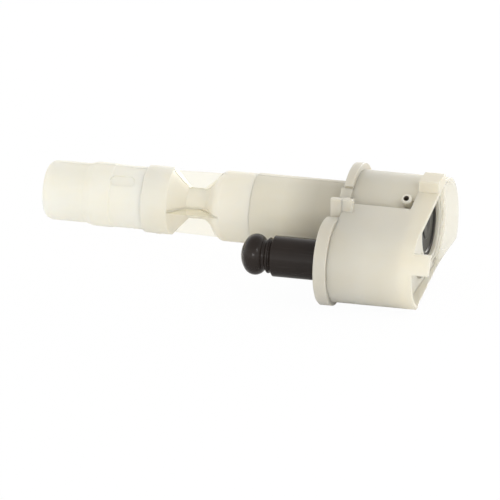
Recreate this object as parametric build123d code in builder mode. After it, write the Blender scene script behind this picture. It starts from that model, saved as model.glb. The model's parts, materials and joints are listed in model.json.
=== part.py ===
"""Toilet fill valve: a pilot-operated water valve with a long inlet tube and a push-in pilot plunger.

+X runs along the inlet tube from its free end to the valve head, +Z is up and the pilot plunger lies
beside the tube on the -Y side. The origin is the centre of the tube's free end face. Millimetres.
"""

import os
from math import cos, radians, sin

from build123d import *

os.makedirs("parts", exist_ok=True)

# ---------------------------------------------------------------- driving dimensions (mm)
gap = 0.05            # between pieces that are pushed together, and in a running fit
wall = 1.4            # moulded wall of the valve head

# stations along the inlet tube, measured from its free end
nose_length = 3.6
bead_start = 15.2
bead_top = 17.8
bead_end = 24.6
collar_start = 36.4
spigot_tip = 44.3
collar_end = 46.0
neck_start = 51.7
neck_end = 56.6
waist_end = 65.3
riser_start = 76.3
throat_tip = 84.0

# radii of the inlet tube
nose_radius = 7.7
tail_radius = 10.5
bead_radius = 11.3
barrel_radius = 11.05
tail_spigot = 10.2
collar_radius = 11.9
neck_radius = 5.46
throat_radius = 12.46
throat_spigot = 10.9
riser_radius = 12.7
tail_bore = 8.2
tail_lip = 6.4
throat_bore = 3.2
throat_outlet = 8.6
riser_bore = 10.95
web_thickness = 0.9

# O-ring cords and their grooves
tail_cord = 0.62
riser_cord = 0.61
body_cord = 0.7
bonnet_cord = 0.68
plunger_cord = 0.6

# valve head stations
lobe_face = 109.3
plate_face = 111.0
plate_back = 114.0
gasket_face = 116.2
groove_end = 137.6
floor_face = 138.6
mouth = 145.0
tongue_tip = 151.2

# valve head sections: a main lobe round the tube's axis and a pilot lobe beside it
main_lobe = 17.4
pilot_lobe = 14.25
pilot_y = -33.25
pilot_z = -4.1
main_bore = main_lobe - wall
pilot_bore = pilot_lobe - wall
plate_main = 19.7
plate_pilot = 15.6
groove_near_y = -20.5
groove_floor_z = 7.0
block_near_y = -26.0
block_far_y = -24.0
block_top_z = 16.5
block_back = 118.0
pad_start = 130.0
pad_near_y = -9.5
pad_top_z = 19.8
tongue_top_z = 5.2
tongue_low_z = -1.2
slant_station = 153.6   # where the slanted cut under the mouth would meet the axis
slant_normal = (1, 0.1, -0.76)

# main valve
seat_bore = 4.6
seat_rim = main_bore - 0.1
body_groove = seat_rim - 1.35
seat_lip = 128.6
cup_radius = 13.4
cup_bore = 11.9
cup_rim = 134.9
ledge = 129.4
ledge_bore = 10.4
washer_face = seat_lip + gap
piston_face = 130.65
piston_top = 134.6
piston_radius = 9.3
piston_bore = 9.4
bonnet_roof = 136.7
bonnet_radius = cup_bore - gap
bonnet_face = 138.3
flange_radius = 12.9
flange_back = 135.6
ring_face = 139.6

# pilot plunger
plunger_tip = 79.6
plunger_radius = 7.3
plunger_end = 119.5
plunger_bore = 5.6
plunger_floor = 108.5
plunger_travel = 6.0
pad_face = 124.2
jet_tip = pad_face + plunger_travel + gap
pilot_block_face = 131.8
pilot_block_back = 136.2
link_station = 133.2

# anti-siphon check valve
check_seat_face = 91.0
cage_start = 94.5
cage_end = 110.5

# fixings
screw_y = -17.4
screw_z = -11.0
screw_tip = 130.4
screw_radius = 1.4
nozzle_station = 134.6
nozzle_radius = 1.9
main_hooks = (131, 0, 262)
hook_root = main_lobe - 0.9
hook_width = 3.8
nozzle_tip = 21.35
link_hole = 1.45
cover_thickness = 1.2

pilot_axis = Axis((0, pilot_y, pilot_z), (1, 0, 0))


# ---------------------------------------------------------------- profile helpers
def side_plane(y=0.0, z=0.0):
    """Plane through the axis at (y, z): x is the station along the tube, y is the radius."""
    return Plane((0, y, z), x_dir=(1, 0, 0), z_dir=(0, -1, 0))


def turned(*corners, y=0.0, z=0.0):
    """Closed outline of (station, radius) corners beside the axis through (y, z)."""
    with BuildSketch(side_plane(y, z)) as outline:
        with BuildLine():
            Polyline(*corners, close=True)
        make_face()
    return outline.sketch


def sleeve(start, end, outer, inner=0.0, y=0.0, z=0.0):
    """Outline of a plain ring or disc from start to end."""
    return turned((start, inner), (end, inner), (end, outer), (start, outer), y=y, z=z)


def cord(station, ring_radius, section, y=0.0, z=0.0):
    """Round section of an O-ring."""
    with BuildSketch(side_plane(y, z)) as outline:
        with Locations((station, ring_radius)):
            Circle(section)
    return outline.sketch


def two_lobes(station, main, pilot):
    """Outline drawn tightly round the main lobe and the pilot lobe, across the tube."""
    with BuildSketch(Plane.YZ.offset(station)) as outline:
        Circle(main)
        with Locations((pilot_y, pilot_z)):
            Circle(pilot)
        make_hull()
    return outline.sketch


def disc(station, radius, y=0.0, z=0.0):
    """Round outline across the tube."""
    with BuildSketch(Plane.YZ.offset(station)) as outline:
        with Locations((y, z)):
            Circle(radius)
    return outline.sketch


def slab(station, low_y, low_z, high_y, high_z):
    """Upright rectangle across the tube."""
    with BuildSketch(Plane.YZ.offset(station)) as outline:
        with Locations(((low_y + high_y) / 2, (low_z + high_z) / 2)):
            Rectangle(high_y - low_y, high_z - low_z)
    return outline.sketch


def spokes(station, inner, outer, width, count, start_angle=0.0, y=0.0, z=0.0):
    """Radial bars across the tube, between two radii."""
    with BuildSketch(Plane.YZ.offset(station)) as outline:
        with Locations((y, z)):
            with PolarLocations((inner + outer) / 2, count, start_angle):
                Rectangle(outer - inner, width)
    return outline.sketch


def radial_plane(angle, y=0.0, z=0.0):
    """Plane through an axis whose y direction points outward at an angle from +Y."""
    turn = radians(angle)
    return Plane((0, y, z), x_dir=(1, 0, 0), z_dir=(0, -sin(turn), cos(turn)))


def snap_hook(angle):
    """Side outline of a hook that reaches forward past the plate and turns inward over it."""
    with BuildSketch(radial_plane(angle)) as outline:
        with BuildLine():
            Polyline(
                (plate_back + 3.5, hook_root - 0.6),
                (plate_back + 0.3, hook_root - 0.6),
                (plate_back - 0.2, hook_root),
                (plate_face - gap, hook_root),
                (plate_face - gap, hook_root - 0.9),
                (plate_face - 0.5, hook_root - 0.9),
                (plate_face - 1.1, hook_root + 0.3),
                (plate_face - 1.1, hook_root + 1.9),
                (plate_back + 3.5, hook_root + 1.9),
                close=True,
            )
        make_face()
    return outline.sketch


def write(piece, label):
    """Name a finished piece and write it."""
    piece.part.label = label
    export_step(piece.part, f"parts/{label}.step")


def write_spring(label, start, end, radius, wire, turns, y=0.0, z=0.0):
    """Compression spring between two stations, a round wire swept along a helix."""
    rise = end - start - 2 * wire
    with BuildPart() as spring:
        with BuildLine() as path:
            Helix(rise / turns, rise, radius, center=(start + wire, y, z), direction=(1, 0, 0))
        with BuildSketch(Plane(path.line @ 0, z_dir=path.line % 0)):
            Circle(wire)
        sweep(is_frenet=True)
    write(spring, label)


# ---------------------------------------------------------------- inlet tube
with BuildPart() as tail_tube:
    with BuildSketch(side_plane()):
        with BuildLine():
            nose = ThreePointArc(
                (nose_length, tail_radius), (1.05, tail_radius - 0.82), (0, nose_radius)
            )
            Polyline(
                nose @ 0,
                (bead_start, tail_radius),
                (bead_top, bead_radius),
                (bead_end, bead_radius),
                (bead_end + 0.4, barrel_radius),
                (collar_start, barrel_radius),
                (collar_start, tail_spigot),
                (39.4, tail_spigot),
                (39.4, tail_spigot - 1.25),
                (41.4, tail_spigot - 1.25),
                (41.4, tail_spigot),
                (spigot_tip, tail_spigot),
                (spigot_tip, tail_bore),
                (2.5, tail_bore),
                (2.5, tail_lip),
                (0, tail_lip),
                nose @ 1,
            )
        make_face()
    revolve(axis=Axis.X)
    # shallow key slot on the upper near side
    with BuildSketch(Plane((29.0, 0, 0), x_dir=(1, 0, 0), z_dir=(0, -0.64, 0.768)).offset(10.6)):
        SlotOverall(9.0, 3.8)
    extrude(amount=2, mode=Mode.SUBTRACT)
write(tail_tube, "tail_tube")

with BuildPart() as inlet_strainer:
    basket = turned(
        (2.6, 5.5), (4.4, 5.5), (28, 4.2), (28, 0), (29.2, 0), (29.2, 5.0),
        (5.6, 6.5), (5.6, tail_bore - gap), (2.6, tail_bore - gap),
    )
    revolve(basket, axis=Axis.X)
    # three rows of narrow slots round the basket
    for station in (8.0, 14.5, 21.0):
        extrude(spokes(station, 3.0, 7.5, 1.1, 10), amount=5.0, mode=Mode.SUBTRACT)
write(inlet_strainer, "inlet_strainer")

with BuildPart() as tail_oring:
    revolve(cord(40.4, tail_spigot - 1.25 + gap / 2 + tail_cord, tail_cord), axis=Axis.X)
write(tail_oring, "tail_oring")

with BuildPart() as throat_body:
    with BuildSketch(side_plane()):
        with BuildLine():
            Polyline(
                (neck_end, neck_radius),
                (neck_start, neck_radius),
                (collar_end + 1.2, collar_radius - 1.6),
                (collar_end, collar_radius),
                (collar_start + 0.4, collar_radius),
                (collar_start + gap, collar_radius - 0.35),
                (collar_start + gap, tail_spigot + gap),
                (spigot_tip + gap, tail_spigot + gap),
                (spigot_tip + gap, throat_bore),
                (neck_end, throat_bore),
                (waist_end, throat_outlet),
                (throat_tip, throat_outlet),
                (throat_tip, throat_spigot),
                (81.4, throat_spigot),
                (81.4, throat_spigot - 1.25),
                (79.4, throat_spigot - 1.25),
                (79.4, throat_spigot),
                (riser_start, throat_spigot),
                (riser_start, throat_radius),
                (waist_end, throat_radius),
            )
            Spline(
                (waist_end, throat_radius),
                (61.5, 9.3),
                (neck_end, neck_radius),
                tangents=[(-1, -0.25), (-1, 0)],
            )
        make_face()
    revolve(axis=Axis.X)
    # four thin webs stiffen the waist
    for angle in (0, 90, 180, 270):
        with BuildSketch(radial_plane(angle)):
            with BuildLine():
                Polyline(
                    (collar_end - 0.5, throat_bore + 1),
                    (collar_end - 0.5, collar_radius - 0.4),
                    (waist_end + 0.5, throat_radius - 0.4),
                    (waist_end + 0.5, throat_outlet + 1),
                    (neck_end, throat_bore + 1),
                    close=True,
                )
            make_face()
        extrude(amount=web_thickness / 2, both=True)
write(throat_body, "throat_body")

with BuildPart() as riser_oring:
    revolve(cord(80.4, throat_spigot - 1.25 + gap / 2 + riser_cord, riser_cord), axis=Axis.X)
write(riser_oring, "riser_oring")

with BuildPart() as flow_restrictor:
    revolve(
        turned(
            (throat_tip + gap, 2.6), (87.9, 4.2), (87.9, riser_bore - gap),
            (throat_tip + gap, riser_bore - gap),
        ),
        axis=Axis.X,
    )
write(flow_restrictor, "flow_restrictor")

with BuildPart() as riser_tube:
    tube = turned(
        (riser_start + gap, riser_bore), (112, riser_bore), (112, 8.6), (gasket_face, 8.6),
        (gasket_face, 15.6), (plate_back + gap, 15.6), (plate_back + gap, riser_radius),
        (riser_start + 0.2, riser_radius), (riser_start + gap, riser_radius - 0.15),
    )
    revolve(tube, axis=Axis.X)
write(riser_tube, "riser_tube")

# ---------------------------------------------------------------- anti-siphon check valve
with BuildPart() as check_seat:
    revolve(
        turned(
            (88, 5.4), (check_seat_face, 5.4), (check_seat_face, 8.8), (92.6, 8.8),
            (92.6, riser_bore - gap), (88, riser_bore - gap),
        ),
        axis=Axis.X,
    )
write(check_seat, "check_seat")

with BuildPart() as check_washer:
    revolve(sleeve(check_seat_face + gap, 92.3, 7.6, 2.1), axis=Axis.X)
write(check_washer, "check_washer")

with BuildPart() as check_poppet:
    revolve(
        turned(
            (90.2, 0), (90.6, 2.9), (91.0, 2.9), (91.0, 2.05), (92.35, 2.05), (92.35, 7.4),
            (93.8, 7.4), (93.8, 4.4), (94.4, 4.4), (94.4, 1.55), (107.5, 1.55), (108.2, 0.9),
            (108.2, 0),
        ),
        axis=Axis.X,
    )
write(check_poppet, "check_poppet")

with BuildPart() as check_cage:
    revolve(sleeve(cage_start, cage_end, riser_bore - gap, 9.5), axis=Axis.X)
    extrude(spokes(cage_start + 2.5, 9.0, 11.5, 7.0, 4, 45), amount=7.5, mode=Mode.SUBTRACT)
    extrude(spokes(105.5, 2.0, 10.0, 2.0, 3, 90), amount=3.5)
    revolve(sleeve(103.8, 109.5, 3.2, 1.55 + gap), axis=Axis.X)
write(check_cage, "check_cage")

write_spring("check_spring", 94.45, 103.75, 2.7, 0.3, 5)

# ---------------------------------------------------------------- valve head casing
with BuildPart() as front_plate:
    extrude(disc(plate_face, plate_main), amount=plate_back - plate_face)
    bridge = two_lobes(plate_face, plate_main, plate_pilot)
    extrude(bridge & slab(plate_face, -60, -30, 30, groove_floor_z), amount=plate_back - plate_face)
    extrude(disc(lobe_face, plate_pilot, pilot_y, pilot_z), amount=plate_back - lobe_face)
    extrude(
        slab(lobe_face + 0.6, block_near_y, 0, block_far_y, block_top_z),
        amount=plate_back - lobe_face - 0.6,
    )
    chamfer(
        front_plate.faces().sort_by(Axis.X)[0].outer_wire().edges(),
        length=0.5,
    )
    revolve(sleeve(lobe_face - 1, plate_back + 1, riser_radius + 0.1), axis=Axis.X, mode=Mode.SUBTRACT)
    revolve(
        turned(
            (lobe_face - 1, 0), (plate_back + 1, 0), (plate_back + 1, 9.6), (lobe_face + 1.5, 9.6),
            (lobe_face + 1.5, 7.7), (lobe_face - 1, 7.7),
            y=pilot_y, z=pilot_z,
        ),
        axis=pilot_axis,
        mode=Mode.SUBTRACT,
    )
    # notches for the housing's snap hooks
    for angle in main_hooks:
        notch = spokes(lobe_face - 1, hook_root - 0.4, 22, hook_width + 0.6, 1, angle)
        extrude(notch, amount=8, mode=Mode.SUBTRACT)
write(front_plate, "front_plate")

# the bare groove between the lobes, cut from the housing
with BuildPart() as groove:
    extrude(
        slab(block_back - 4, groove_near_y, groove_floor_z, 0, 25),
        amount=groove_end - block_back + 4,
    )
    revolve(sleeve(100, 150, main_lobe), axis=Axis.X, mode=Mode.SUBTRACT)

with BuildPart() as valve_housing:
    extrude(two_lobes(plate_back + gap, main_lobe, pilot_lobe), amount=mouth - plate_back - gap)
    # underside of the mouth is cut back at a slant
    with BuildSketch(Plane((slant_station, 0, 0), z_dir=slant_normal)):
        Rectangle(90, 90)
    extrude(amount=40, mode=Mode.SUBTRACT)
    for angle in main_hooks:
        extrude(snap_hook(angle), amount=hook_width / 2, both=True)
    # flat raised pad on top of the main lobe
    extrude(slab(pad_start, pad_near_y, 10, 0, pad_top_z), amount=mouth - pad_start)
    add(groove.part, mode=Mode.SUBTRACT)
    # block behind the plate's own block
    extrude(
        slab(plate_back + gap, block_near_y, 4, block_far_y, block_top_z),
        amount=block_back - plate_back - gap,
    )
    # the two bores and the open mouth
    revolve(sleeve(plate_back, mouth, main_bore), axis=Axis.X, mode=Mode.SUBTRACT)
    revolve(
        sleeve(plate_back, mouth, pilot_bore, y=pilot_y, z=pilot_z),
        axis=pilot_axis,
        mode=Mode.SUBTRACT,
    )
    extrude(two_lobes(floor_face, main_bore, pilot_bore), amount=mouth, mode=Mode.SUBTRACT)
    # tongue on the near wall of the pilot lobe
    extrude(
        (disc(floor_face, pilot_lobe, pilot_y, pilot_z) - disc(floor_face, pilot_bore, pilot_y, pilot_z))
        & slab(floor_face, -50, tongue_low_z, -40, tongue_top_z),
        amount=tongue_tip - floor_face,
    )
    # screw hole, refill nozzle hole and pilot passage
    extrude(disc(screw_tip - 1, screw_radius + gap, screw_y, screw_z), amount=12, mode=Mode.SUBTRACT)
    with BuildSketch(Plane((nozzle_station, 0, 0), z_dir=(0, -1, 1)).offset(14)):
        Circle(1.65)
    extrude(amount=4.5, mode=Mode.SUBTRACT)
    with BuildSketch(Plane((link_station, 0, pilot_z), z_dir=(0, -1, 0)).offset(14)):
        Circle(link_hole)
    extrude(amount=9, mode=Mode.SUBTRACT)
write(valve_housing, "valve_housing")

with BuildPart() as plunger:
    with BuildSketch(side_plane(pilot_y, pilot_z)):
        with BuildLine():
            bead = ThreePointArc((81.4, 5.5), (84.6, plunger_radius), (87.6, 6.1))
            neck = ThreePointArc(bead @ 1, (88.4, 5.5), (89.2, 6.0))
            ThreePointArc(neck @ 1, (89.7, 6.35), (90.2, 6.0))
            Polyline(
                (90.2, 6.0), (90.5, 5.9), (91.6, plunger_radius), (116.95, plunger_radius),
                (116.95, 6.3), (118.05, 6.3), (118.05, plunger_radius), (plunger_end, plunger_radius),
                (plunger_end, plunger_bore), (plunger_floor, plunger_bore), (plunger_floor, 3.0),
                (123.4, 3.0), (123.4, 2.1), (121.6, 2.1), (121.6, 0), (plunger_tip, 0),
            )
            ThreePointArc((plunger_tip, 0), (80.15, 3.2), bead @ 0)
        make_face()
    revolve(axis=pilot_axis)
write(plunger, "plunger")

# ---------------------------------------------------------------- pilot plunger and its fittings
with BuildPart() as plunger_guide:
    revolve(
        turned(
            (111.35, plunger_radius + gap), (113.0, plunger_radius + gap), (113.0, 8.6),
            (114.6, 8.6), (114.6, plunger_radius + gap), (116.9, plunger_radius + gap),
            (116.9, 11.5), (plate_back + gap, 11.5), (plate_back + gap, 9.55), (111.35, 9.55),
            y=pilot_y, z=pilot_z,
        ),
        axis=pilot_axis,
    )
write(plunger_guide, "plunger_guide")

with BuildPart() as plunger_oring:
    revolve(
        cord(113.8, plunger_radius + 0.03 + plunger_cord, plunger_cord, pilot_y, pilot_z),
        axis=pilot_axis,
    )
write(plunger_oring, "plunger_oring")

with BuildPart() as spring_clip:
    revolve(sleeve(117.0, 118.0, 9.4, 6.35, pilot_y, pilot_z), axis=pilot_axis)
    extrude(slab(116, pilot_y - 2.4, pilot_z - 12, pilot_y + 2.4, pilot_z), amount=3, mode=Mode.SUBTRACT)
write(spring_clip, "spring_clip")

with BuildPart() as pilot_pad:
    revolve(sleeve(121.65, pad_face, 2.05, 0, pilot_y, pilot_z), axis=pilot_axis)
write(pilot_pad, "pilot_pad")

write_spring(
    "plunger_spring", plunger_floor + gap, pilot_block_face - gap, 4.5, 0.35, 9, pilot_y, pilot_z
)

with BuildPart() as pilot_block:
    revolve(
        turned(
            (pilot_block_face, 0), (pilot_block_back, 0), (pilot_block_back, pilot_bore - 0.1),
            (pilot_block_face, pilot_bore - 0.1), y=pilot_y, z=pilot_z,
        ),
        axis=pilot_axis,
    )
    # jet that the pad closes
    revolve(
        turned(
            (jet_tip, 0), (jet_tip, 1.1), (131.2, 1.9), (pilot_block_face, 1.9), (pilot_block_face, 0),
            y=pilot_y, z=pilot_z,
        ),
        axis=pilot_axis,
    )
    extrude(disc(jet_tip - 1, 0.5, pilot_y, pilot_z), amount=link_station - jet_tip + 1.5, mode=Mode.SUBTRACT)
    # cross passage to the jet, with a socket for the link tube
    with BuildSketch(Plane((link_station, pilot_y, pilot_z), z_dir=(0, 1, 0))):
        Circle(0.6)
    extrude(amount=14, mode=Mode.SUBTRACT)
    with BuildSketch(Plane((link_station, pilot_y, pilot_z), z_dir=(0, 1, 0)).offset(10.2)):
        Circle(link_hole)
    extrude(amount=4, mode=Mode.SUBTRACT)
    # drain slots
    extrude(
        spokes(jet_tip, 7.0, 10.5, 2.6, 3, 90, pilot_y, pilot_z), amount=8, mode=Mode.SUBTRACT
    )
write(pilot_block, "pilot_block")

with BuildPart() as pilot_link:
    with BuildSketch(Plane((link_station, -12.3, pilot_z), z_dir=(0, -1, 0))):
        Circle(1.4)
        Circle(0.7, mode=Mode.SUBTRACT)
    extrude(amount=10.6)
write(pilot_link, "pilot_link")

# ---------------------------------------------------------------- main valve in the main lobe
with BuildPart() as riser_gasket:
    revolve(sleeve(gasket_face + gap, 117.35, 15.6, 9.0), axis=Axis.X)
write(riser_gasket, "riser_gasket")

with BuildPart() as seat_body:
    revolve(
        turned(
            (117.4, seat_bore), (seat_lip - 0.4, seat_bore), (seat_lip, 5.0), (seat_lip, 5.4),
            (seat_lip - 0.8, 6.2), (121.4, 6.6), (121.4, ledge_bore), (ledge, ledge_bore),
            (ledge, cup_bore), (cup_rim, cup_bore), (cup_rim, cup_radius), (121.4, cup_radius),
            (121.4, seat_rim), (120.5, seat_rim), (120.5, body_groove), (118.4, body_groove),
            (118.4, seat_rim), (117.4, seat_rim),
        ),
        axis=Axis.X,
    )
    # side windows that let the water out of the cup
    extrude(spokes(122.2, 8.0, 15.0, 6.0, 5, 30), amount=5.2, mode=Mode.SUBTRACT)
    with BuildSketch(Plane((link_station, 0, pilot_z), z_dir=(0, -1, 0)).offset(8)):
        Circle(link_hole)
    extrude(amount=8, mode=Mode.SUBTRACT)
write(seat_body, "seat_body")

with BuildPart() as body_oring:
    revolve(cord(119.45, body_groove + gap / 2 + body_cord, body_cord), axis=Axis.X)
write(body_oring, "body_oring")

with BuildPart() as seat_washer:
    revolve(sleeve(washer_face, 130.6, 7.0, 1.9), axis=Axis.X)
write(seat_washer, "seat_washer")

with BuildPart() as piston:
    revolve(
        turned(
            (127.6, 0.5), (127.6, 1.2), (128.2, 1.85), (piston_face, 1.85), (piston_face, 8.2),
            (131.6, piston_radius), (132.6, piston_radius), (132.6, 7.8), (134.0, 7.8),
            (134.0, piston_radius), (piston_top, piston_radius), (piston_top, 5.2), (132.0, 5.2),
            (132.0, 0.5),
        ),
        axis=Axis.X,
    )
write(piston, "piston")

with BuildPart() as piston_ring:
    revolve(
        turned(
            (132.65, 7.85), (133.95, 7.85), (133.95, 9.36), (133.6, 9.36), (133.2, 8.8), (132.65, 8.8),
        ),
        axis=Axis.X,
    )
write(piston_ring, "piston_ring")

with BuildPart() as bonnet_oring:
    revolve(cord(ledge + gap / 2 + bonnet_cord, 11.12, bonnet_cord), axis=Axis.X)
write(bonnet_oring, "bonnet_oring")

write_spring("main_spring", 132.05, bonnet_roof - gap, 3.6, 0.25, 4)

with BuildPart() as bonnet_cap:
    revolve(
        turned(
            (130.85, piston_bore), (bonnet_roof, piston_bore), (bonnet_roof, 0), (bonnet_face - 0.3, 0),
            (bonnet_face, 3.0), (bonnet_face, 4.6), (bonnet_face - 0.35, 5.2), (bonnet_face - 0.35, 9.4),
            (bonnet_face, 9.9), (bonnet_face, bonnet_radius - 0.4), (bonnet_face - 0.4, bonnet_radius),
            (flange_back, bonnet_radius), (flange_back, flange_radius), (135.0, flange_radius),
            (135.0, bonnet_radius), (130.85, bonnet_radius),
        ),
        axis=Axis.X,
    )
    # socket for the bleed pin and the pilot port
    extrude(disc(bonnet_roof, 0.32), amount=1.0, mode=Mode.SUBTRACT)
    with BuildSketch(Plane((link_station, 0, pilot_z), z_dir=(0, -1, 0)).offset(5)):
        Circle(0.7)
    extrude(amount=8, mode=Mode.SUBTRACT)
write(bonnet_cap, "bonnet_cap")

with BuildPart() as bleed_pin:
    revolve(sleeve(126.8, bonnet_roof + 0.95, 0.3), axis=Axis.X)
write(bleed_pin, "bleed_pin")

with BuildPart() as bonnet_ring:
    revolve(
        turned(
            (130.0, 13.5), (135.05, 13.5), (135.05, 13.0), (flange_back + gap, 13.0),
            (flange_back + gap, bonnet_radius + gap), (ring_face - 0.3, bonnet_radius + gap),
            (ring_face, 12.2), (ring_face, 12.8), (ring_face - 0.4, 13.2), (136.4, 13.2),
            (135.9, 14.6), (130.0, 14.6),
        ),
        axis=Axis.X,
    )
    # the link tube passes through the skirt
    with BuildSketch(Plane((link_station, 0, pilot_z), z_dir=(0, -1, 0)).offset(8)):
        Circle(1.6)
    extrude(amount=10, mode=Mode.SUBTRACT)
write(bonnet_ring, "bonnet_ring")

with BuildPart() as end_cover:
    extrude(two_lobes(floor_face + gap, main_bore - 0.1, pilot_bore - 0.1), amount=cover_thickness)
    extrude(disc(floor_face - 1, 13.35), amount=4, mode=Mode.SUBTRACT)
    # window over the pilot chamber
    extrude(disc(floor_face - 1, 8.6, pilot_y, pilot_z - 1.5), amount=4, mode=Mode.SUBTRACT)
    # discharge slots round the underside
    extrude(spokes(floor_face - 1, 14.0, 15.3, 4.4, 5, 210), amount=4, mode=Mode.SUBTRACT)
    extrude(disc(floor_face - 1, 1.6, screw_y, screw_z), amount=4, mode=Mode.SUBTRACT)
write(end_cover, "end_cover")

with BuildPart() as cover_screw:
    head = floor_face + cover_thickness + 2 * gap
    revolve(
        turned(
            (screw_tip, 0), (head + 1.7, 0), (head + 1.5, 1.6), (head + 1.2, 2.3), (head, 2.6),
            (head, screw_radius), (screw_tip + 1.2, screw_radius), (screw_tip, 0.6),
            y=screw_y, z=screw_z,
        ),
        axis=Axis((0, screw_y, screw_z), (1, 0, 0)),
    )
    # cross recess
    for angle in (0, 90):
        recess = spokes(head + 0.7, -1.4, 1.4, 0.6, 1, angle, screw_y, screw_z)
        extrude(recess, amount=2, mode=Mode.SUBTRACT)
write(cover_screw, "cover_screw")

with BuildPart() as refill_nozzle:
    with BuildSketch(Plane((nozzle_station, 0, 0), z_dir=(0, -1, 1)).offset(15.6)):
        Circle(1.6)
    extrude(amount=3)
    with BuildSketch(Plane((nozzle_station, 0, 0), z_dir=(0, -1, 1)).offset(main_lobe + gap)):
        Circle(nozzle_radius)
    extrude(amount=nozzle_tip - main_lobe - gap)
    chamfer(refill_nozzle.faces().sort_by(Axis((0, 0, 0), (0, -1, 1)))[-1].edges(), length=0.5)
    with BuildSketch(Plane((nozzle_station, 0, 0), z_dir=(0, -1, 1)).offset(15)):
        Circle(0.9)
    extrude(amount=8, mode=Mode.SUBTRACT)
write(refill_nozzle, "refill_nozzle")
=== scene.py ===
"""Looks of the toilet fill valve: natural polypropylene mouldings, black plunger, rubber and springs.

Lengths are in metres, in the CAD frame: +X runs along the inlet tube towards the valve head, +Z is up.
"""

import json
import math

import bmesh
import bpy
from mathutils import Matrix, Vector
from mathutils.bvhtree import BVHTree

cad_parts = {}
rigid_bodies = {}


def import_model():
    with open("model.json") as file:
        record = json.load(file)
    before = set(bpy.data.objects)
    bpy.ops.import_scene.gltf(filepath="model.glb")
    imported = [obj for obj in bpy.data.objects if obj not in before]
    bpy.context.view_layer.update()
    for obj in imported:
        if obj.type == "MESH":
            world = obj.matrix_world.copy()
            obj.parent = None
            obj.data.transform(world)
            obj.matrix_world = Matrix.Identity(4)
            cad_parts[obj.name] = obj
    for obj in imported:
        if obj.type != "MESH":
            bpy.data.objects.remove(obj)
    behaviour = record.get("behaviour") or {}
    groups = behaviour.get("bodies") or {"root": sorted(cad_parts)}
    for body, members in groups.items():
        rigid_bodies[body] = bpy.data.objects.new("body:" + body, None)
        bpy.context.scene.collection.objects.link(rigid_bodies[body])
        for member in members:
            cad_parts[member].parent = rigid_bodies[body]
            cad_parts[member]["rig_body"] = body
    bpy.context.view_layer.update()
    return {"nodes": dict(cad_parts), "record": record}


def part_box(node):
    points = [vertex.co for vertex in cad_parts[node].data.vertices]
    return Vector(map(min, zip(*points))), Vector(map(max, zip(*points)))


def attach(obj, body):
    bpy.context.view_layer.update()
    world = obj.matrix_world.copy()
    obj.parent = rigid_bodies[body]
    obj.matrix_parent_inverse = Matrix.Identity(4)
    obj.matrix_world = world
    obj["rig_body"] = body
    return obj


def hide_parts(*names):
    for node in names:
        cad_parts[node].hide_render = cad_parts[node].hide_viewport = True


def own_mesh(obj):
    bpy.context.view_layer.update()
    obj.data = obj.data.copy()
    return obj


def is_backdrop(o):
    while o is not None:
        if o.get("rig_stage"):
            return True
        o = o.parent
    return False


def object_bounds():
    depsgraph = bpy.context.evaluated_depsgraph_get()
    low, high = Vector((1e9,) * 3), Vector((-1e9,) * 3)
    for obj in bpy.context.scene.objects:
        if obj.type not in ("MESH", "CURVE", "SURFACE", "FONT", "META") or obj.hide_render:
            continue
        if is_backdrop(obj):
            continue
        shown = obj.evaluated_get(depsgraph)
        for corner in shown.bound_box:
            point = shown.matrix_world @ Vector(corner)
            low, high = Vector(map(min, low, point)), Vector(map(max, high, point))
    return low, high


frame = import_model()

MM = 0.001
NODES = frame["nodes"]
BODY_OF = {node: obj["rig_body"] for node, obj in NODES.items()}


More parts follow.
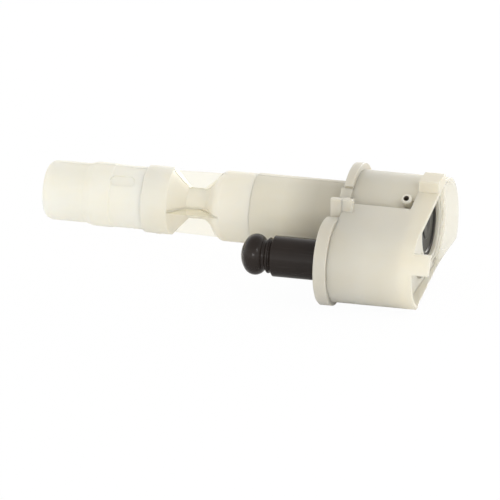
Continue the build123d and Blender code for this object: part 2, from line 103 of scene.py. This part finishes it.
# ------------------------------------------------------------------ shader helpers
class Shader:
    """A small builder round one material's node tree."""

    def __init__(self, name):
        self.material = bpy.data.materials.new(name)
        self.material.use_nodes = True
        self.tree = self.material.node_tree
        self.tree.nodes.clear()
        self.coordinates = self.add("ShaderNodeTexCoord").outputs["Object"]
        place = self.add("ShaderNodeSeparateXYZ", Vector=self.coordinates)
        self.x, self.y, self.z = place.outputs["X"], place.outputs["Y"], place.outputs["Z"]

    def add(self, kind, **inputs):
        """New node, with its inputs set from values or linked from sockets."""
        node = self.tree.nodes.new(kind)
        for key, value in inputs.items():
            self.feed(node.inputs[key.replace("_", " ")], value)
        return node

    def feed(self, socket, value):
        if isinstance(value, bpy.types.NodeSocket):
            self.tree.links.new(value, socket)
        else:
            socket.default_value = value

    def noise(self, scale, detail=3.0, roughness=0.5, distortion=0.0, stretch=(1, 1, 1)):
        """Noise over the object, in cycles per metre, drawn out along an axis by stretch."""
        mapping = self.add("ShaderNodeMapping", Vector=self.coordinates, Scale=stretch)
        node = self.add(
            "ShaderNodeTexNoise",
            Vector=mapping.outputs["Vector"],
            Scale=scale,
            Detail=detail,
            Roughness=roughness,
            Distortion=distortion,
        )
        return node.outputs["Fac"]

    def ramp(self, factor, *stops):
        """Colour ramp through (position, colour or grey) stops."""
        node = self.add("ShaderNodeValToRGB", Fac=factor)
        elements = node.color_ramp.elements
        while len(elements) < len(stops):
            elements.new(0.5)
        for element, (position, colour) in zip(elements, stops):
            element.position = position
            element.color = (*colour, 1) if isinstance(colour, tuple) else (colour, colour, colour, 1)
        return node.outputs["Color"]

    def between(self, value, low, high):
        """A length in metres mapped to 0..1 between two lengths in millimetres."""
        scaled = self.math("SUBTRACT", value, low * MM)
        return self.math("DIVIDE", scaled, (high - low) * MM, clamp=True)

    def along(self, *stops):
        """Grey that follows the station along the tube, through (millimetres, grey) stops."""
        low, high = stops[0][0], stops[-1][0]
        fractions = [((station - low) / (high - low), grey) for station, grey in stops]
        return self.ramp(self.between(self.x, low, high), *fractions)

    def mix(self, factor, first, second, blend="MIX"):
        node = self.add("ShaderNodeMix")
        node.data_type = "RGBA"
        node.blend_type = blend
        self.feed(node.inputs["Factor"], factor)
        self.feed(node.inputs["A"], first if isinstance(first, bpy.types.NodeSocket) else (*first, 1))
        self.feed(node.inputs["B"], second if isinstance(second, bpy.types.NodeSocket) else (*second, 1))
        return node.outputs["Result"]

    def math(self, operation, first, second=0.0, clamp=False):
        node = self.add("ShaderNodeMath")
        node.operation = operation
        node.use_clamp = clamp
        self.feed(node.inputs[0], first)
        self.feed(node.inputs[1], second)
        return node.outputs["Value"]

    def bump(self, height, strength, distance, normal=None):
        node = self.add("ShaderNodeBump", Height=height, Strength=strength, Distance=distance)
        if normal is not None:
            self.feed(node.inputs["Normal"], normal)
        return node.outputs["Normal"]

    def soft_edges(self, radius):
        """Normals rounded over every edge, as on a moulding."""
        node = self.add("ShaderNodeBevel", Radius=radius)
        node.samples = 4
        return node.outputs["Normal"]

    def edge_wear(self, radius):
        """1 at worn edges, 0 on flat faces."""
        bevel = self.add("ShaderNodeBevel", Radius=radius)
        bevel.samples = 4
        geometry = self.add("ShaderNodeNewGeometry")
        dot = self.add("ShaderNodeVectorMath")
        dot.operation = "DOT_PRODUCT"
        self.feed(dot.inputs[0], bevel.outputs["Normal"])
        self.feed(dot.inputs[1], geometry.outputs["Normal"])
        return self.math("MULTIPLY", self.math("SUBTRACT", 1.0, dot.outputs["Value"]), 4.0, clamp=True)

    def close(self, surface):
        """Link a surface to the output and return the material."""
        output = self.add("ShaderNodeOutputMaterial")
        self.tree.links.new(surface, output.inputs["Surface"])
        return self.material


# ------------------------------------------------------------------ materials
SATIN = 0.34   # roughness of the natural plastic's skin


def natural_plastic(name, tint, clear=0.10, shade=None, thin=None, dark=None):
    """Unpigmented polypropylene: milky, light glows through it, faint flow marks and a satin skin.

    clear is how much light passes straight through a wall met face on. shade holds (station, grey) stops
    of painted shade along the tube, partly standing for what shows through the wall. thin(s) says how clear
    the wall is where it is thin, and also carries a painted backlight; dark(s) says where a bore is painted
    dark as shade.
    """
    s = Shader(name)
    cloud = s.noise(38, detail=4, distortion=0.4)
    flow = s.noise(120, detail=3, stretch=(0.18, 1, 1))
    grain = s.noise(5200, detail=2)
    warm = tuple(c * f for c, f in zip(tint, (0.985, 0.97, 0.93)))
    cool = tuple(min(1.0, c * f) for c, f in zip(tint, (0.99, 1.0, 1.015)))
    colour = s.mix(s.ramp(cloud, (0.35, 0.0), (0.68, 1.0)), warm, cool)
    colour = s.mix(s.math("MULTIPLY", s.ramp(flow, (0.45, 0.0), (0.75, 1.0)), 0.25), colour, warm)
    # painted shade: the colour is darkened along the tube by the shade stops
    if shade:
        colour = s.mix(1.0, colour, s.along(*shade), blend="MULTIPLY")
    # painted shade: the refill nozzle's bore is painted near black
    if dark:
        colour = s.mix(dark(s), colour, (0.12, 0.10, 0.08))
    rough = s.math("ADD", s.math("MULTIPLY", flow, 0.16), SATIN - 0.08)
    normal = s.soft_edges(0.35 * MM)
    normal = s.bump(grain, 0.10, 0.05 * MM, normal)
    normal = s.bump(flow, 0.10, 0.3 * MM, normal)
    skin = s.add(
        "ShaderNodeBsdfPrincipled",
        Base_Color=colour,
        Roughness=rough,
        IOR=1.49,
        Normal=normal,
        Subsurface_Weight=0.6,
        Subsurface_Radius=(1.0, 0.92, 0.78),
        Subsurface_Scale=2.6 * MM,
        Specular_IOR_Level=0.3,
    )
    glow = s.add("ShaderNodeBsdfTranslucent", Color=colour, Normal=normal)
    lit = s.add("ShaderNodeMixShader", Fac=0.24)
    s.tree.links.new(skin.outputs[0], lit.inputs[1])
    s.tree.links.new(glow.outputs[0], lit.inputs[2])
    through = s.add("ShaderNodeBsdfTransparent", Color=(0.97, 0.96, 0.92, 1))
    edge = s.add("ShaderNodeLayerWeight", Blend=0.35)
    facing = s.math("SUBTRACT", 1.0, edge.outputs["Facing"])
    share = s.math("MULTIPLY", facing, clear)
    if thin:
        share = s.math("MAXIMUM", share, thin(s))
    if dark:
        share = s.math("MULTIPLY", share, s.math("SUBTRACT", 1.0, dark(s)))
    mixed = s.add("ShaderNodeMixShader", Fac=share)
    s.tree.links.new(lit.outputs[0], mixed.inputs[1])
    s.tree.links.new(through.outputs[0], mixed.inputs[2])
    return s.close(mixed.outputs[0])


def web_share(s):
    """How clear the waist is: the thin webs let most light straight through."""
    off_axis = s.math("MINIMUM", s.math("ABSOLUTE", s.y), s.math("ABSOLUTE", s.z))
    on_web = s.math("LESS_THAN", off_axis, 0.5 * MM)
    radius = s.math(
        "SQRT", s.math("ADD", s.math("MULTIPLY", s.y, s.y), s.math("MULTIPLY", s.z, s.z))
    )
    # radius of the waist's core along the tube, as a share of 15 mm
    core = s.along((46.0, 0.70), (51.7, 0.37), (57.0, 0.37), (61.5, 0.625), (65.3, 0.835))
    outside = s.math("GREATER_THAN", radius, s.math("MULTIPLY", core, 15 * MM))
    past_collar = s.math("GREATER_THAN", s.x, 46.05 * MM)
    before_cone = s.math("LESS_THAN", s.x, 65.2 * MM)
    in_waist = s.math("MULTIPLY", past_collar, before_cone)
    return s.math("MULTIPLY", s.math("MULTIPLY", on_web, outside), s.math("MULTIPLY", in_waist, 0.9))


def lip_backlight_share(s):
    """How clear the housing's wall is at the far side of its open mouth: painted backlight, the white behind
    it showing through as light glowing through the wall.
    """
    past_floor = s.between(s.x, 138.4, 140.5)
    far_side = s.between(s.y, -2.0, 10.0)
    return s.math("MULTIPLY", s.math("MULTIPLY", past_floor, far_side), 0.82)


def nozzle_bore(s):
    """1 inside the refill nozzle's bore, which slants up towards -Y; there the bore is painted dark as
    shade.
    """
    along_tube = s.math("SUBTRACT", s.x, 134.6 * MM)
    across = s.math("MULTIPLY", s.math("ADD", s.y, s.z), math.sqrt(0.5))
    squares = s.math(
        "ADD", s.math("MULTIPLY", along_tube, along_tube), s.math("MULTIPLY", across, across)
    )
    return s.math("LESS_THAN", s.math("SQRT", squares), 1.0 * MM)


def white_plastic(name):
    """White acetal with a fine moulded grain."""
    s = Shader(name)
    cloud = s.noise(90, detail=3)
    colour = s.ramp(cloud, (0.3, (0.78, 0.78, 0.74)), (0.7, (0.86, 0.86, 0.83)))
    normal = s.bump(s.noise(4200, detail=2), 0.12, 0.05 * MM, s.soft_edges(0.2 * MM))
    skin = s.add(
        "ShaderNodeBsdfPrincipled",
        Base_Color=colour,
        Roughness=s.math("ADD", s.math("MULTIPLY", cloud, 0.2), 0.32),
        Normal=normal,
        Subsurface_Weight=0.25,
        Subsurface_Radius=(1.0, 0.95, 0.9),
        Subsurface_Scale=1.0 * MM,
    )
    return s.close(skin.outputs[0])


def black_plastic(name, tint=(0.0125, 0.0088, 0.007), polish=0.13, shine=0.22):
    """Polished black acetal with fine rub marks along it and paler, duller edges."""
    s = Shader(name)
    cloud = s.noise(60, detail=4)
    rub = s.noise(2600, detail=2, stretch=(0.03, 1, 1))
    marks = s.ramp(rub, (0.60, 0.0), (0.72, 1.0))
    worn = s.edge_wear(0.25 * MM)
    colour = s.mix(s.ramp(cloud, (0.3, 0.0), (0.75, 1.0)), tint, tuple(c * 1.5 for c in tint))
    colour = s.mix(s.math("MULTIPLY", marks, 0.3), colour, (0.035, 0.031, 0.028))
    colour = s.mix(s.math("MULTIPLY", worn, 0.35), colour, (0.07, 0.064, 0.058))
    rough = s.math("ADD", s.math("MULTIPLY", cloud, 0.08), polish)
    rough = s.math("ADD", rough, s.math("MULTIPLY", marks, 0.12))
    normal = s.bump(rub, 0.06, 0.04 * MM, s.soft_edges(0.3 * MM))
    skin = s.add(
        "ShaderNodeBsdfPrincipled",
        Base_Color=colour,
        Roughness=rough,
        Normal=normal,
        Specular_IOR_Level=shine,
    )
    return s.close(skin.outputs[0])


def rubber(name):
    """Matt black nitrile with a bloom of pale dust."""
    s = Shader(name)
    bloom = s.ramp(s.noise(300, detail=5), (0.5, 0.0), (0.8, 1.0))
    colour = s.mix(s.math("MULTIPLY", bloom, 0.3), (0.018, 0.018, 0.018), (0.07, 0.068, 0.064))
    skin = s.add(
        "ShaderNodeBsdfPrincipled",
        Base_Color=colour,
        Roughness=0.62,
        Normal=s.bump(s.noise(3800, detail=3), 0.2, 0.06 * MM),
        Sheen_Weight=0.15,
    )
    return s.close(skin.outputs[0])


def silicone(name):
    """Milky silicone rubber."""
    s = Shader(name)
    cloud = s.noise(160, detail=3)
    colour = s.ramp(cloud, (0.3, (0.70, 0.69, 0.64)), (0.7, (0.80, 0.79, 0.75)))
    skin = s.add(
        "ShaderNodeBsdfPrincipled",
        Base_Color=colour,
        Roughness=0.5,
        Subsurface_Weight=0.7,
        Subsurface_Radius=(1, 1, 0.9),
        Subsurface_Scale=1.5 * MM,
        Normal=s.bump(s.noise(2400, detail=2), 0.1, 0.04 * MM),
    )
    return s.close(skin.outputs[0])


def spring_steel(name):
    """Drawn stainless wire: fine lines round it and a slight straw tint in places."""
    s = Shader(name)
    lines = s.noise(6000, detail=2, stretch=(0.2, 1, 1))
    tint = s.ramp(s.noise(240, detail=3), (0.35, (0.58, 0.57, 0.55)), (0.75, (0.66, 0.64, 0.58)))
    skin = s.add(
        "ShaderNodeBsdfPrincipled",
        Base_Color=tint,
        Metallic=1.0,
        Roughness=s.math("ADD", s.math("MULTIPLY", lines, 0.18), 0.2),
        Normal=s.bump(lines, 0.15, 0.03 * MM),
    )
    return s.close(skin.outputs[0])


PALE = (0.80, 0.765, 0.67)
# painted shade on the riser: darker near the valve head, partly the head's shadow on the tube and partly
# dark inner parts seen through it
RISER_PAINTED_SHADE = ((70, 1.0), (88, 1.0), (94, 0.88), (100, 0.76), (112, 0.78))
# painted shade on the housing: darker towards the front plate, where the plunger and plate shade it, partly
# also darker inner parts seen through the wall
HOUSING_PAINTED_SHADE = ((112, 0.86), (120, 0.90), (128, 0.97), (140, 1.0), (146, 1.0))
# The natural parts are one plastic; their tints darken from the tail towards the head and its front plate,
# partly as painted shade and partly for the thicker head letting less light through.
MATERIALS = {
    "tail_tube": natural_plastic("tail_plastic", (0.93, 0.91, 0.83), clear=0.10),
    "throat_body": natural_plastic("throat_plastic", (0.90, 0.865, 0.765), clear=0.10, thin=web_share),
    # riser: painted shade near the valve head
    "riser_tube": natural_plastic("riser_plastic", (0.83, 0.785, 0.665), clear=0.12, shade=RISER_PAINTED_SHADE),
    "front_plate": natural_plastic("plate_plastic", (0.68, 0.65, 0.575), clear=0.06),
    # housing: painted shade towards the plate, and painted backlight at the far wall of the mouth
    "valve_housing": natural_plastic(
        "housing_plastic", (0.765, 0.735, 0.65), clear=0.08, shade=HOUSING_PAINTED_SHADE, thin=lip_backlight_share
    ),
    "refill_nozzle": natural_plastic("nozzle_plastic", (0.765, 0.735, 0.65), clear=0.0, dark=nozzle_bore),
    "natural_plastic": natural_plastic("inner_plastic", PALE, clear=0.08),
    "white_plastic": white_plastic("white_plastic"),
    "black_plastic": black_plastic("black_plastic"),
    "bonnet_cap": black_plastic("cap_plastic", (0.007, 0.006, 0.005), polish=0.24, shine=0.15),
    "black_rubber": rubber("black_rubber"),
    "clear_silicone": silicone("clear_silicone"),
    "spring_steel": spring_steel("spring_steel"),
}
ROOT_PLASTIC = natural_plastic("root_plastic", (0.90, 0.865, 0.765), clear=0.0)
SLOT_OF = {row["node"]: row["material_slot"] for row in frame["record"]["subparts"]}


def paint(obj, material):
    obj.data.materials.clear()
    obj.data.materials.append(material)


for node, obj in NODES.items():
    paint(obj, MATERIALS.get(node, MATERIALS[SLOT_OF[node]]))


# ------------------------------------------------------------------ pieces built in mesh code
def new_piece(name, mesh_maker, material, body):
    """Make a mesh with bmesh, paint it and let it ride on a body."""
    data = bpy.data.meshes.new(name)
    work = bmesh.new()
    mesh_maker(work)
    bmesh.ops.recalc_face_normals(work, faces=work.faces)
    work.to_mesh(data)
    work.free()
    for polygon in data.polygons:
        polygon.use_smooth = True
    obj = bpy.data.objects.new(name, data)
    bpy.context.scene.collection.objects.link(obj)
    paint(obj, material)
    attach(obj, body)
    return obj


def loft(work, sections):
    """Closed skin through a list of cross-sections, each a ring of points, capped at both ends."""
    rings = [[work.verts.new(point) for point in section] for section in sections]
    sides = len(rings[0])
    for first, second in zip(rings, rings[1:]):
        for step in range(sides):
            after = (step + 1) % sides
            work.faces.new((first[step], first[after], second[after], second[step]))
    work.faces.new(reversed(rings[0]))
    work.faces.new(rings[-1])


def ring_of(centre, side, up, radius, sides):
    """Points evenly round a circle that lies in the plane of side and up."""
    turns = [2 * math.pi * step / sides for step in range(sides)]
    return [centre + radius * (math.cos(turn) * side + math.sin(turn) * up) for turn in turns]


def wire_along(work, points, radius, sides=10):
    """Round wire through a list of points, closed at both ends."""
    sections = []
    for index, point in enumerate(points):
        ahead = points[min(index + 1, len(points) - 1)]
        behind = points[max(index - 1, 0)]
        tangent = (ahead - behind).normalized()
        side = tangent.cross(Vector((1, 0, 0))).normalized()
        up = side.cross(tangent).normalized()
        sections.append(ring_of(point, side, up, radius, sides))
    loft(work, sections)


def spring(node, wire, active):
    """Compression spring with a closed coil at each end, in place of a CAD spring.

    The whole coil rides on the CAD spring's body and keeps its shape.
    """
    low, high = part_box(node)
    centre_y, centre_z = (low.y + high.y) / 2, (low.z + high.z) / 2
    mean = (high.y - low.y) / 2 - wire
    start, end = low.x + wire, high.x - wire
    turns = active + 2
    coil_rise = 2 * wire * 0.9   # of a closed coil, which presses a little into its neighbour
    open_rise = end - start - 2 * coil_rise

    def station(turn):
        if turn < 1:
            return start + turn * coil_rise
        if turn > 1 + active:
            return end - (turns - turn) * coil_rise
        return start + coil_rise + (turn - 1) / active * open_rise

    points = []
    count = turns * 28
    for index in range(count + 1):
        turn = turns * index / count
        angle = 2 * math.pi * turn
        points.append(
            Vector((station(turn), centre_y + mean * math.cos(angle), centre_z + mean * math.sin(angle)))
        )
    obj = new_piece(
        node + "_wire",
        lambda work: wire_along(work, points, wire),
        MATERIALS["spring_steel"],
        BODY_OF[node],
    )
    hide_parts(node)
    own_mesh(obj)


spring("plunger_spring", 0.35 * MM, 8)
spring("main_spring", 0.25 * MM, 3)
spring("check_spring", 0.30 * MM, 4)


# ------------------------------------------------------------------ moulding marks
def skin_of(node):
    """Ray-cast tree of a CAD node's own mesh."""
    work = bmesh.new()
    work.from_mesh(NODES[node].data)
    tree = BVHTree.FromBMesh(work)
    work.free()
    return tree


def outward_at(degrees):
    """Direction straight out from the tube's axis, at an angle from +Y."""
    turn = math.radians(degrees)
    return Vector((0, math.cos(turn), math.sin(turn)))


def on_skin(tree, station, degrees, reach=30 * MM):
    """Surface point met from outside, going straight in towards the tube's axis."""
    outward = outward_at(degrees)
    return tree.ray_cast(Vector((station, 0, 0)) + reach * outward, -outward)[0]


def like(node, name, mesh_maker, material=None):
    """New piece of the same plastic as a CAD node, riding on the same body."""
    new_piece(name, mesh_maker, material or NODES[node].data.materials[0], BODY_OF[node])


def parting_line(node, degrees, start, end, half_width=0.14 * MM, proud=0.05 * MM):
    """Fine raised line that the two mould halves leave along a tube."""
    tree = skin_of(node)
    outward = outward_at(degrees)
    side = outward.cross(Vector((1, 0, 0)))
    count = max(2, int((end - start) / (0.5 * MM)))
    sections = []
    for index in range(count + 1):
        point = on_skin(tree, start + (end - start) * index / count, degrees)
        sections.append([
            point + side * half_width * across + outward * proud * up
            for across, up in ((-1, -1.0), (-0.4, 1.0), (0.4, 1.0), (1, -1.0))
        ])
    like(node, f"{node}_parting_{degrees}", lambda work: loft(work, sections))


def round_mark(name, node, centre, outward, radius, proud, dish):
    """Round mould mark: a low rim with a dished middle, standing on a face."""
    outward = Vector(outward).normalized()
    side = outward.orthogonal().normalized()
    up = outward.cross(side)
    profile = (
        (1.0, -0.12 * MM), (1.0, proud * 0.6), (0.94, proud), (0.84, proud), (0.74, proud - dish),
        (0.35, proud - dish * 1.15),
    )
    sections = [
        ring_of(Vector(centre) + outward * height, side, up, radius * reach, 40) for reach, height in profile
    ]
    like(node, name, lambda work: loft(work, sections))


def web_root(degrees, start, end, half_width=0.44 * MM, depth=0.5 * MM, count=60):
    """Solid strip under a clear web, which carries the waist's outline on beneath it."""
    tree = skin_of("throat_body")
    outward = outward_at(degrees)
    side = outward.cross(Vector((1, 0, 0)))
    sections = []
    for index in range(count + 1):
        station = start + (end - start) * index / count
        # the waist's radius here, met clear of the web
        beside = on_skin(tree, station, degrees + 14)
        radius = math.hypot(beside.y, beside.z)
        sections.append([
            Vector((station, 0, 0)) + outward * (radius - depth * down) + side * half_width * across
            for across, down in ((-1, 1), (-1, 0), (1, 0), (1, 1))
        ])
    like("throat_body", f"web_root_{degrees}", lambda work: loft(work, sections), ROOT_PLASTIC)


for tube, margin_low, margin_high in (("tail_tube", 4.5, 8.2), ("riser_tube", 0.6, 6.0)):
    low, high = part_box(tube)
    for angle in (90, 270):
        parting_line(tube, angle, low.x + margin_low * MM, high.x - margin_high * MM)

for angle in (0, 90, 180, 270):
    web_root(angle, 46.1 * MM, 65.1 * MM)

# ejector marks on the recessed floor of the mouth
cover_low, cover_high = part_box("end_cover")
for number, (across, up) in enumerate(((0.30, 0.16), (0.30, 0.72), (0.62, 0.10))):
    spot = (
        cover_high.x,
        cover_low.y + across * (cover_high.y - cover_low.y),
        cover_low.z + up * (cover_high.z - cover_low.z),
    )
    round_mark(f"cover_ejector_{number}", "end_cover", spot, (1, 0, 0), 1.3 * MM, 0.07 * MM, 0.06 * MM)

# gate stub on the collar's underside, where the melt went in
gate_angle = 250
gate_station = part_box("throat_body")[0].x + 5.0 * MM
gate = on_skin(skin_of("throat_body"), gate_station, gate_angle)
round_mark("throat_gate", "throat_body", gate, outward_at(gate_angle), 0.9 * MM, 0.16 * MM, 0.10 * MM)


# ------------------------------------------------------------------ stage, light and camera
AXIS_MIDDLE = Vector((73.6 * MM, 0, -15.8 * MM))   # what the camera looks at
VIEW_AZIMUTH = math.radians(15.0)
VIEW_ELEVATION = math.radians(20.7)
CAMERA_DISTANCE = 1.0
FRAME_WIDTH = 176.0 * MM   # width of the whole picture


def look_from(azimuth, elevation):
    return Vector(
        (
            math.sin(azimuth) * math.cos(elevation),
            -math.cos(azimuth) * math.cos(elevation),
            math.sin(elevation),
        )
    )


def aim(obj, target):
    """Turn an object's -Z towards a point, keeping its Y up."""
    obj.rotation_euler = (target - obj.location).to_track_quat("-Z", "Y").to_euler()


def camera():
    data = bpy.data.cameras.new("camera")
    data.type = "ORTHO"
    data.ortho_scale = FRAME_WIDTH
    obj = bpy.data.objects.new("camera", data)
    bpy.context.scene.collection.objects.link(obj)
    obj.location = AXIS_MIDDLE + CAMERA_DISTANCE * look_from(VIEW_AZIMUTH, VIEW_ELEVATION)
    aim(obj, AXIS_MIDDLE)
    bpy.context.scene.camera = obj


def soft_light(name, azimuth, elevation, distance, width, height, watts):
    data = bpy.data.lights.new(name, "AREA")
    data.shape = "RECTANGLE"
    data.size = width
    data.size_y = height
    data.energy = watts
    obj = bpy.data.objects.new(name, data)
    bpy.context.scene.collection.objects.link(obj)
    centre = Vector((0.09, -0.01, 0))
    obj.location = centre + distance * look_from(math.radians(azimuth), math.radians(elevation))
    aim(obj, centre)


def studio():
    """Light tent, bright in front and below and dimmer overhead, with three soft boxes.

    One is in front, one is behind the object, and a small one puts a glint on the plunger.
    """
    world = bpy.data.worlds.new("studio")
    bpy.context.scene.world = world
    world.use_nodes = True
    tree = world.node_tree
    place = tree.nodes.new("ShaderNodeTexCoord")
    split = tree.nodes.new("ShaderNodeSeparateXYZ")
    tree.links.new(place.outputs["Generated"], split.inputs[0])
    height = tree.nodes.new("ShaderNodeMapRange")
    tree.links.new(split.outputs["Z"], height.inputs["Value"])
    for key, value in (("From Min", 0.1), ("From Max", 0.9), ("To Min", 1.58), ("To Max", 0.74)):
        height.inputs[key].default_value = value
    background = tree.nodes["Background"]
    background.inputs["Color"].default_value = (1.0, 0.995, 0.985, 1)
    tree.links.new(height.outputs["Result"], background.inputs["Strength"])
    soft_light("front_box", 8, 15, 0.8, 0.25, 0.08, 0.8)
    soft_light("back_box", 162, 5, 0.5, 0.35, 0.22, 2.1)
    soft_light("glint_box", 48, 34, 0.45, 0.03, 0.09, 0.17)


def floor():
    """Plain pale floor that reads as clean white to the camera."""
    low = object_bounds()[0]
    data = bpy.data.meshes.new("floor")
    work = bmesh.new()
    bmesh.ops.create_grid(work, x_segments=1, y_segments=1, size=3.0)
    bmesh.ops.translate(work, verts=work.verts, vec=(0.07, 0, low[2] - 0.3 * MM))
    work.to_mesh(data)
    work.free()
    obj = bpy.data.objects.new("floor", data)
    bpy.context.scene.collection.objects.link(obj)
    s = Shader("floor_paint")
    tone = s.ramp(s.noise(3, detail=2), (0.4, 0.90), (0.6, 0.92))
    paper = s.add("ShaderNodeBsdfDiffuse", Color=tone)
    bright = s.add("ShaderNodeEmission", Color=(1, 1, 1, 1), Strength=1.0)
    seen = s.add("ShaderNodeLightPath")
    both = s.add("ShaderNodeMixShader", Fac=s.math("MULTIPLY", seen.outputs["Is Camera Ray"], 0.97))
    s.tree.links.new(paper.outputs[0], both.inputs[1])
    s.tree.links.new(bright.outputs[0], both.inputs[2])
    paint(obj, s.close(both.outputs[0]))
    obj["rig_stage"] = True


def camera_sees_white():
    """The world is pure white to the camera too."""
    tree = bpy.context.scene.world.node_tree
    background = tree.nodes["Background"]
    white = tree.nodes.new("ShaderNodeBackground")
    white.inputs["Color"].default_value = (1, 1, 1, 1)
    path = tree.nodes.new("ShaderNodeLightPath")
    both = tree.nodes.new("ShaderNodeMixShader")
    tree.links.new(path.outputs["Is Camera Ray"], both.inputs["Fac"])
    tree.links.new(background.outputs[0], both.inputs[1])
    tree.links.new(white.outputs[0], both.inputs[2])
    tree.links.new(both.outputs[0], tree.nodes["World Output"].inputs["Surface"])


camera()
studio()
floor()
camera_sees_white()

scene = bpy.context.scene
scene.view_settings.view_transform = "Standard"
scene.view_settings.look = "None"
scene.cycles.use_denoising = True
scene.cycles.max_bounces = 12
scene.cycles.transparent_max_bounces = 24
